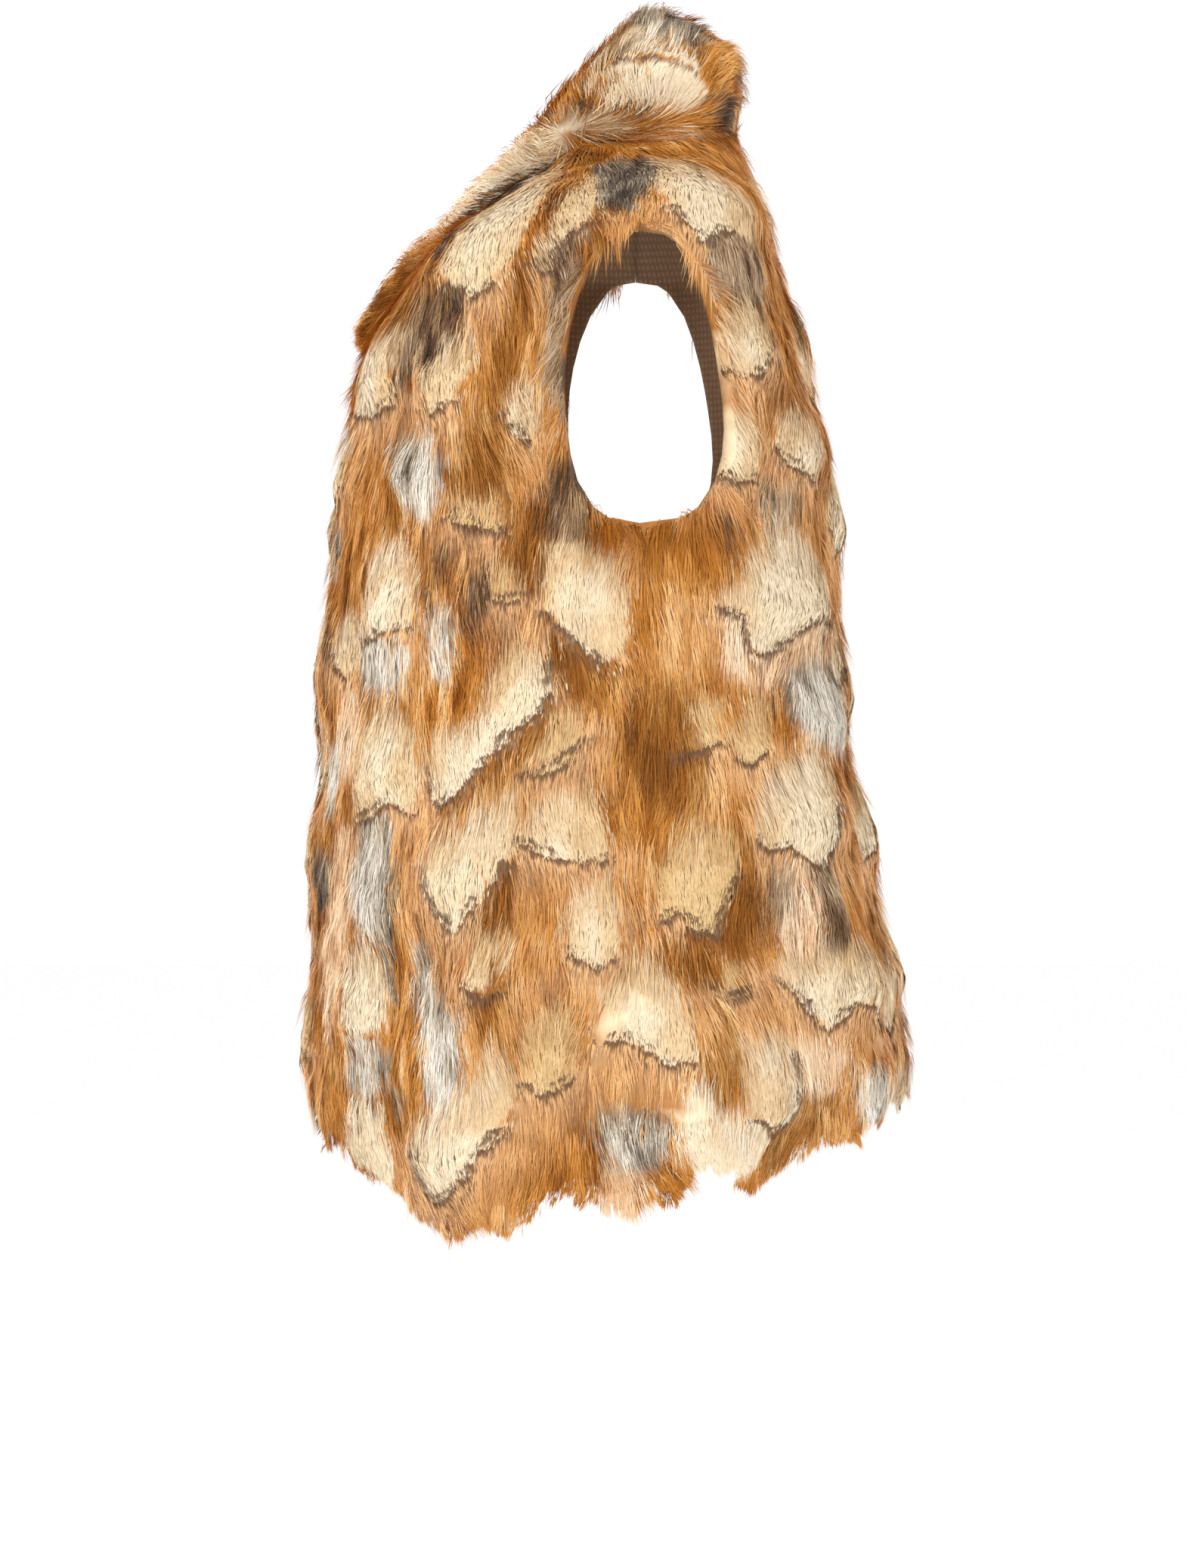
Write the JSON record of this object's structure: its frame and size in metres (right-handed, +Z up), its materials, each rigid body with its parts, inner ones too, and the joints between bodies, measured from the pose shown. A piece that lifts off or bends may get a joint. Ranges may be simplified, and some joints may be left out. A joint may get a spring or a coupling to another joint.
{
  "type": "fur vest",
  "caption": "Hip-length sleeveless vest in long-pile patchwork fur cloth, with a standing collar and an edge-to-edge front, held in its worn hollow form.",
  "frame": {"origin": "midway between the two shoulder seams' neck points, where the wearer's shoulders carry the vest", "axes": "+Z up, the wearer faces -Y, the wearer's left is +X"},
  "size_m": [0.4987, 0.3937, 0.7825],
  "materials": {
    "fur_front_left": "long-pile fur, ginger with cream and grey plates",
    "fur_front_right": "long-pile fur, ginger with cream and grey plates",
    "fur_back": "long-pile fur, ginger with cream and grey plates",
    "fur_collar": "long-pile fur on both faces, cream and ginger"
  },
  "bodies": {
    "root": {"front_left": "fur_front_left", "front_right": "fur_front_right", "back": "fur_back", "collar": "fur_collar"}
  },
  "joints": []
}
